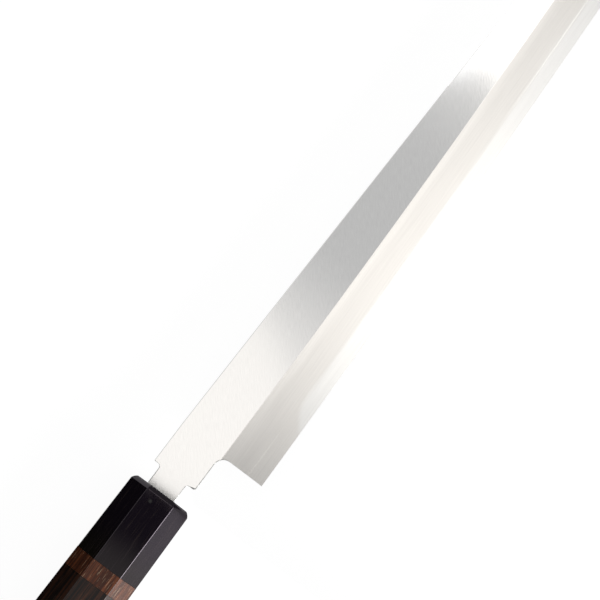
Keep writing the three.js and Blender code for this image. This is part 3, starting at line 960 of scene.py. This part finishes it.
def make_floor():
    """A white table top that shows as white and keeps a soft shadow."""
    material, tree = new_material("white_table_top")
    ray = node(tree, "ShaderNodeLightPath").outputs
    inputs = {0: ray["Is Camera Ray"], 1: ray["Is Transmission Ray"]}
    seen = node(tree, "ShaderNodeMath", inputs, operation="ADD").outputs[0]
    shown = node(tree, "ShaderNodeMath", {0: seen, 1: TABLE_SEEN}, operation="MULTIPLY").outputs[0]
    inputs = {0: ray["Is Glossy Ray"], 1: TABLE_MIRRORED, 2: shown}
    glow = node(tree, "ShaderNodeMath", inputs, operation="MULTIPLY_ADD").outputs[0]
    inputs = {
        "Base Color": hex_colour("#808080"),
        "Roughness": 0.9,
        "Specular IOR Level": 0.0,
        "Emission Color": hex_colour("#FFFFFF"),
        "Emission Strength": glow,
    }
    finish_material(tree, "ShaderNodeBsdfPrincipled", inputs)
    low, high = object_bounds()
    # how far the table goes past the knife, in metres
    reach_x, reach_bevel, reach_spine = 1.2, 1.6, 1.2
    corners = [
        (low[0] - reach_x, low[1] - reach_bevel, low[2]),
        (high[0] + reach_x, low[1] - reach_bevel, low[2]),
        (high[0] + reach_x, high[1] + reach_spine, low[2]),
        (low[0] - reach_x, high[1] + reach_spine, low[2]),
    ]
    mesh = bpy.data.meshes.new("table_top")
    mesh.from_pydata(corners, [], [(0, 1, 2, 3)])
    mesh.materials.append(material)
    table = add_object("table_top", mesh)


def make_room():
    """The room: an even, dim light. The camera and the metal see it white."""
    world = bpy.data.worlds.new("room")
    world.use_nodes = True
    tree = world.node_tree
    tree.nodes.clear()
    ray = node(tree, "ShaderNodeLightPath").outputs
    inputs = {0: ray["Is Camera Ray"], 1: ray["Is Glossy Ray"]}
    seen = node(tree, "ShaderNodeMath", inputs, operation="ADD").outputs[0]
    inputs = {0: seen, 1: ray["Is Transmission Ray"]}
    shown = node(tree, "ShaderNodeMath", inputs, operation="ADD").outputs[0]
    level = node(tree, "ShaderNodeMix", {0: shown, 2: ROOM_LIGHT, 3: ROOM_SEEN}).outputs[0]
    inputs = {"Color": hex_colour("#FFFFFF"), "Strength": level}
    shader = node(tree, "ShaderNodeBackground", inputs)
    node(tree, "ShaderNodeOutputWorld", {"Surface": shader.outputs[0]})
    bpy.context.scene.world = world


def stage_card(name, quads, material, shades=False):
    """A flat card or cloth of the studio, from corners in millimetres from the datum.
    Only polish mirrors it, and unless it shades, the lamp shines through it."""
    corners = [at(*corner) for quad in quads for corner in quad]
    mesh = bpy.data.meshes.new(name)
    mesh.from_pydata(corners, [], [tuple(range(4 * i, 4 * i + 4)) for i in range(len(quads))])
    mesh.materials.append(material)
    card = add_object(name, mesh)
    card.visible_camera = False
    card.visible_shadow = shades
    card.visible_diffuse = False


def level_quad(low_x, high_x, low_y, high_y, z):
    """Corners of a level card."""
    return [(low_x, low_y, z), (high_x, low_y, z), (high_x, high_y, z), (low_x, high_y, z)]


def make_scrim(name, reach_x, reach_y, height, level, steps):
    """A glowing cloth overhead, warm where it is bright. From the butt on its level changes at each step:
    start, end, new level and how far the step leans towards the tip on the spine's side."""
    material, tree = new_material(name)
    place = node(tree, "ShaderNodeTexCoord").outputs["Object"]
    spot = node(tree, "ShaderNodeSeparateXYZ", {0: place})
    for start, end, new_level, lean in steps:
        inputs = {0: spot.outputs[1], 1: -lean, 2: spot.outputs[0]}
        along = node(tree, "ShaderNodeMath", inputs, operation="MULTIPLY_ADD").outputs[0]
        leant = lean * at(0, LEAN_Y, 0).y
        inputs = {0: along, 1: at(start, 0, 0).x - leant, 2: at(end, 0, 0).x - leant, 3: level, 4: new_level}
        level = node(tree, "ShaderNodeMapRange", inputs, interpolation_type="SMOOTHSTEP").outputs[0]
    warmth = node(tree, "ShaderNodeMapRange", {0: level, 1: 0.6, 2: 1.3}).outputs[0]
    tones = {0: warmth, 6: hex_colour("#FFFFFF"), 7: hex_colour("#FFFCF8")}
    tone = node(tree, "ShaderNodeMix", tones, data_type="RGBA").outputs[2]
    finish_material(tree, "ShaderNodeEmission", {"Color": tone, "Strength": level})
    stage_card(name, [level_quad(*reach_x, *reach_y, height)], material)


def make_flags():
    """Cards that only polish mirrors: dark beside the handle, grey under the blade, before the lamp and past
    the tip, pale before the neck, white beside the spine and above it towards the tip."""
    floor = (CAD_BOX[0][2] - DATUM.z) / MM + CARD_LIFT

    def lying(low_x, high_x, low_y, high_y):
        return level_quad(low_x, high_x, low_y, high_y, floor)

    def upright(first, second, top):
        return [(*first, floor), (*second, floor), (*second, top), (*first, top)]

    glow = hex_colour("#FFFFFF")
    dark = card_material("dark_card", "ShaderNodeBsdfDiffuse", Color=hex_colour("#2A2A2A"))
    under = card_material("under_card", "ShaderNodeBsdfDiffuse", Color=hex_colour("#707070"))
    grey = card_material("grey_card", "ShaderNodeEmission", Color=glow, Strength=0.25)
    pale = card_material("pale_card", "ShaderNodeEmission", Color=glow, Strength=0.45)
    white = card_material("white_card", "ShaderNodeEmission", Color=glow, Strength=2.0)
    stage_card("handle_card", [lying(-200, 5, 13, 24), upright((-200, 24), (5, 24), 20)], dark)
    stage_card("blade_card", [lying(22.6, 420, -300, 4)], under)
    stage_card("edge_card", [upright((5, -300), (420, -300), 150)], grey)
    neck_quads = [upright((3, -12), (3, -45), 19), upright((3, -45), (3, -150), 60)]
    stage_card("neck_card", neck_quads, pale, True)
    stage_card("spine_card", [lying(178, 420, 4, 13)], white)
    # the scrim's bright end starts earlier over the spine
    corner = [(314, 25), (314, -6), (335, -13), (400, 25)]
    stage_card("corner_card", [[(x, y, SCRIM_Z - 1) for x, y in corner]], white)
    stage_card("tip_card", [upright((470, -300), (470, 300), 415)], grey)


def softbox(name, centre, width, depth, aim, radiance, colour):
    """A rectangular lamp of an even radiance, at a place in millimetres from the datum, facing another."""
    lamp = bpy.data.lights.new(name, "AREA")
    lamp.shape = "RECTANGLE"
    lamp.size = width * MM
    lamp.size_y = depth * MM
    lamp.energy = radiance * math.pi * lamp.size * lamp.size_y
    lamp.color = hex_colour(colour)[:3]
    holder = add_object(name, lamp)
    holder.location = at(*centre)
    holder.rotation_euler = (at(*aim) - at(*centre)).to_track_quat("-Z", "Y").to_euler()
    holder.visible_camera = False


def make_lamps():
    """Three glowing cloths overhead and a lamp at the side."""
    # bright over neck and tip, dim over the middle of the face
    face_steps = [
        (117, 131, 1.05, 0.5),
        (120, 190, 0.71, 0.0),
        (263, 330, 0.86, -0.1),
        (328, 346, 2.0, 0.3),
    ]
    make_scrim("face_scrim", SCRIM_X, (-135, 260), SCRIM_Z, 1.38, face_steps)
    # dim over the heel, bright over the middle of the bevel
    bevel_steps = [(43, 167, 1.56, 0.0), (262, 400, 0.78, 0.0)]
    make_scrim("bevel_scrim", SCRIM_X, (-430, -135), SCRIM_Z, 0.15, bevel_steps)
    # close over the handle, and dark in front of the ring, as the horn and the wood mirror it
    make_scrim("handle_scrim", (-200, 2.2), (-70, 78), 100, 0.42, [(-31, -15, 0.05, 0.0)])
    softbox("side_softbox", (-374, -905, 310), 930, 350, (-26, -5, 0), 9.9, "#FFFFFF")


def make_camera():
    """A camera that sees the knife as the picture does."""
    lens = bpy.data.cameras.new("camera")
    lens.sensor_fit = "HORIZONTAL"
    lens.sensor_width = SENSOR_WIDTH
    lens.lens = FOCAL_PIXELS * SENSOR_WIDTH / PICTURE_WIDTH
    lens.clip_start = CLIP_START
    camera = add_object("camera", lens)
    turn = (
        Matrix.Rotation(math.radians(-SPINE_NEARS), 3, "X")
        @ Matrix.Rotation(math.radians(-TIP_RECEDES), 3, "Y")
        @ Matrix.Rotation(math.radians(-LENGTH_TURN), 3, "Z")
    )
    depth = FOCAL_PIXELS / DATUM_PIXELS_PER_MM
    aside = (DATUM_PIXEL[0] - PICTURE_WIDTH / 2) / DATUM_PIXELS_PER_MM
    above = (PICTURE_WIDTH / 2 - DATUM_PIXEL[1]) / DATUM_PIXELS_PER_MM
    eye = at(0, 0, 0) - turn @ (MM * Vector((aside, above, -depth)))
    camera.matrix_world = Matrix.Translation(eye) @ turn.to_4x4()
    bpy.context.scene.camera = camera


make_camera()
make_blade()
make_handle()
dress_hidden_nodes()
make_floor()
make_room()
make_lamps()
make_flags()
bpy.context.scene.view_settings.view_transform = "Standard"
